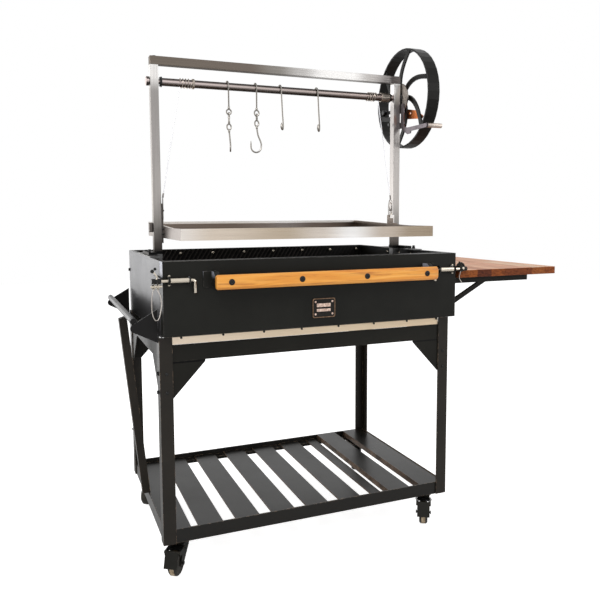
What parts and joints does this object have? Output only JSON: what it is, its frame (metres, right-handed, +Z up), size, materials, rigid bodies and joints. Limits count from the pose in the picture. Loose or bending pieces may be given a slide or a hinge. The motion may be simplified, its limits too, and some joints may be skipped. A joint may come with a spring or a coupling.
{
  "type": "argentine grill",
  "caption": "Wheeled charcoal and wood grill with a flywheel lifted cooking grate, drop down front door, ash tray and folding side shelf.",
  "frame": {"origin": "on the floor, at the middle of the footprint of the whole grill", "axes": "+X to the right when facing the door, +Y to the back, +Z up"},
  "size_m": [1.483, 0.747, 1.67],
  "materials": {
    "black_paint": "satin black powder coat",
    "shelf_steel": "dark grey satin steel",
    "stainless": "brushed stainless steel",
    "tray_steel": "light grey satin sheet",
    "liner_steel": "matt black heat proof coat",
    "wheel_black": "satin black",
    "copper_plate": "brushed copper colour",
    "plate_bronze": "dark bronze",
    "handle_wood": "oiled light wood",
    "board_wood": "oiled laminated wood",
    "rubber": "matt",
    "cable_steel": "bright wire rope"
  },
  "bodies": {
    "cart": {"leg_front_left": "black_paint", "leg_front_right": "black_paint", "leg_rear_left": "black_paint", "leg_rear_right": "black_paint", "apron_front": "black_paint", "apron_rear": "black_paint", "apron_left": "black_paint", "apron_right": "black_paint", "lower_shelf": "shelf_steel", "wall_left": "black_paint", "wall_right": "black_paint", "wall_rear": "black_paint", "firebox_floor": "liner_steel", "liner_rear": "liner_steel", "tray_pan": "tray_steel", "tray_cheek_front": "black_paint", "tray_cheek_rear": "black_paint", "tray_strut": "black_paint", "post_left": "stainless", "post_right": "stainless", "crossbar": "stainless", "cable_left": "cable_steel", "cable_right": "cable_steel"},
    "ash_drawer": {"ash_tray": "stainless"},
    "lift": {"grate": "stainless", "grate_guide_left": "stainless", "grate_guide_right": "stainless"},
    "drum": {"shaft": "stainless", "flywheel": "wheel_black", "brake_disc": "stainless", "flywheel_plate": "copper_plate", "winding_left": "cable_steel", "winding_right": "cable_steel"},
    "lever": {"brake_lever": "stainless"},
    "door": {"front_door": "black_paint", "door_handle": "handle_wood", "name_plate": "plate_bronze"},
    "bolt_left": {"latch_bolt_left": "stainless"},
    "bolt_right": {"latch_bolt_right": "stainless"},
    "side_shelf": {"shelf_board": "board_wood", "shelf_arm_front": "black_paint", "shelf_arm_rear": "black_paint"},
    "brace_front": {"shelf_brace_front": "black_paint"},
    "brace_rear": {"shelf_brace_rear": "black_paint"},
    "hook_1_upper_body": {"hook_1_upper": "stainless"},
    "hook_1_lower_body": {"hook_1_lower": "stainless"},
    "hook_2_upper_body": {"hook_2_upper": "stainless"},
    "hook_2_lower_body": {"hook_2_lower": "stainless"},
    "hook_3_body": {"hook_3": "stainless"},
    "hook_4_body": {"hook_4": "stainless"},
    "swivel_front_left": {"caster_fork_front_left": "black_paint"},
    "wheel_front_left": {"caster_wheel_front_left": "rubber"},
    "pedal_front_left": {"brake_pedal_front_left": "black_paint"},
    "swivel_front_right": {"caster_fork_front_right": "black_paint"},
    "wheel_front_right": {"caster_wheel_front_right": "rubber"},
    "pedal_front_right": {"brake_pedal_front_right": "black_paint"},
    "swivel_rear_left": {"caster_fork_rear_left": "black_paint"},
    "wheel_rear_left": {"caster_wheel_rear_left": "rubber"},
    "swivel_rear_right": {"caster_fork_rear_right": "black_paint"},
    "wheel_rear_right": {"caster_wheel_rear_right": "rubber"}
  },
  "joints": [
    {"name": "swivel_front_left", "type": "hinge", "parent": "cart", "child": "swivel_front_left", "pos_m": [-0.6065, -0.2095, 0.1], "axis": [0, 0, 1], "continuous": true},
    {"name": "roll_front_left", "type": "hinge", "parent": "swivel_front_left", "child": "wheel_front_left", "pos_m": [-0.62502, -0.23801, 0.038], "axis": [0.8387, -0.5446, 0], "continuous": true},
    {"name": "pedal_front_left", "type": "hinge", "parent": "swivel_front_left", "child": "pedal_front_left", "pos_m": [-0.61848, -0.22795, 0.079], "axis": [0.8387, -0.5446, 0], "range_deg": [-15, 1]},
    {"name": "swivel_front_right", "type": "hinge", "parent": "cart", "child": "swivel_front_right", "pos_m": [0.2565, -0.2095, 0.1], "axis": [0, 0, 1], "continuous": true},
    {"name": "roll_front_right", "type": "hinge", "parent": "swivel_front_right", "child": "wheel_front_right", "pos_m": [0.23798, -0.23801, 0.038], "axis": [0.8387, -0.5446, 0], "continuous": true},
    {"name": "pedal_front_right", "type": "hinge", "parent": "swivel_front_right", "child": "pedal_front_right", "pos_m": [0.24452, -0.22795, 0.079], "axis": [0.8387, -0.5446, 0], "range_deg": [-15, 1]},
    {"name": "swivel_rear_left", "type": "hinge", "parent": "cart", "child": "swivel_rear_left", "pos_m": [-0.6065, 0.3105, 0.1], "axis": [0, 0, 1], "continuous": true},
    {"name": "roll_rear_left", "type": "hinge", "parent": "swivel_rear_left", "child": "wheel_rear_left", "pos_m": [-0.62502, 0.28199, 0.038], "axis": [0.8387, -0.5446, 0], "continuous": true},
    {"name": "swivel_rear_right", "type": "hinge", "parent": "cart", "child": "swivel_rear_right", "pos_m": [0.2565, 0.3105, 0.1], "axis": [0, 0, 1], "continuous": true},
    {"name": "roll_rear_right", "type": "hinge", "parent": "swivel_rear_right", "child": "wheel_rear_right", "pos_m": [0.23798, 0.28199, 0.038], "axis": [0.8387, -0.5446, 0], "continuous": true},
    {"name": "ash_slide", "type": "slide", "parent": "cart", "child": "ash_drawer", "axis": [0, 1, 0], "range_m": [-0.45, 0]},
    {"name": "grate_lift", "type": "slide", "parent": "cart", "child": "lift", "axis": [0, 0, 1], "range_m": [-0.05, 0.22], "deforming": ["cable_left", "cable_right"]},
    {"name": "shaft_turn", "type": "hinge", "parent": "cart", "child": "drum", "pos_m": [-0.1925, 0.0205, 1.492], "axis": [1, 0, 0], "range_deg": [-880, 205]},
    {"name": "brake_release", "type": "hinge", "parent": "cart", "child": "lever", "pos_m": [0.2785, 0.0145, 1.393], "axis": [1, 0, 0], "range_deg": [-12, 0]},
    {"name": "door_drop", "type": "hinge", "parent": "cart", "child": "door", "pos_m": [-0.175, -0.2575, 0.726], "axis": [1, 0, 0], "range_deg": [0, 90]},
    {"name": "bolt_left_slide", "type": "slide", "parent": "door", "child": "bolt_left", "axis": [-1, 0, 0], "range_m": [0, 0.008]},
    {"name": "bolt_right_slide", "type": "slide", "parent": "door", "child": "bolt_right", "axis": [1, 0, 0], "range_m": [0, 0.008]},
    {"name": "shelf_fold", "type": "hinge", "parent": "cart", "child": "side_shelf", "pos_m": [0.3215, 0.0085, 0.846], "axis": [0, 1, 0], "range_deg": [0, 88]},
    {"name": "brace_front_fold", "type": "hinge", "parent": "cart", "child": "brace_front", "pos_m": [0.3215, -0.2435, 0.761], "axis": [0, 1, 0], "range_deg": [0, 119]},
    {"name": "brace_rear_fold", "type": "hinge", "parent": "cart", "child": "brace_rear", "pos_m": [0.3215, 0.2625, 0.761], "axis": [0, 1, 0], "range_deg": [0, 119]},
    {"name": "hook_1_upper_swing", "type": "hinge", "parent": "cart", "child": "hook_1_upper_body", "pos_m": [-0.3735, 0.0205, 1.492], "axis": [1, 0, 0], "range_deg": [-20, 20]},
    {"name": "hook_2_upper_swing", "type": "hinge", "parent": "cart", "child": "hook_2_upper_body", "pos_m": [-0.2755, 0.0205, 1.492], "axis": [1, 0, 0], "range_deg": [-20, 20]},
    {"name": "hook_3_swing", "type": "hinge", "parent": "cart", "child": "hook_3_body", "pos_m": [-0.1805, 0.0205, 1.492], "axis": [1, 0, 0], "range_deg": [-20, 20]},
    {"name": "hook_4_swing", "type": "hinge", "parent": "cart", "child": "hook_4_body", "pos_m": [-0.0465, 0.0205, 1.492], "axis": [1, 0, 0], "range_deg": [-20, 20]},
    {"name": "hook_1_lower_swing", "type": "hinge", "parent": "hook_1_upper_body", "child": "hook_1_lower_body", "pos_m": [-0.3735, 0.0205, 1.402], "axis": [1, 0, 0], "range_deg": [-20, 20]},
    {"name": "hook_2_lower_swing", "type": "hinge", "parent": "hook_2_upper_body", "child": "hook_2_lower_body", "pos_m": [-0.2755, 0.0205, 1.402], "axis": [1, 0, 0], "range_deg": [-20, 20]}
  ],
  "couplings": [
    {"joint": "shaft_turn", "follows": "grate_lift", "rad_per_m": -68.97},
    {"joint": "brace_front_fold", "follows": "shelf_fold", "ratio": 1.3173},
    {"joint": "brace_rear_fold", "follows": "shelf_fold", "ratio": 1.3173}
  ]
}
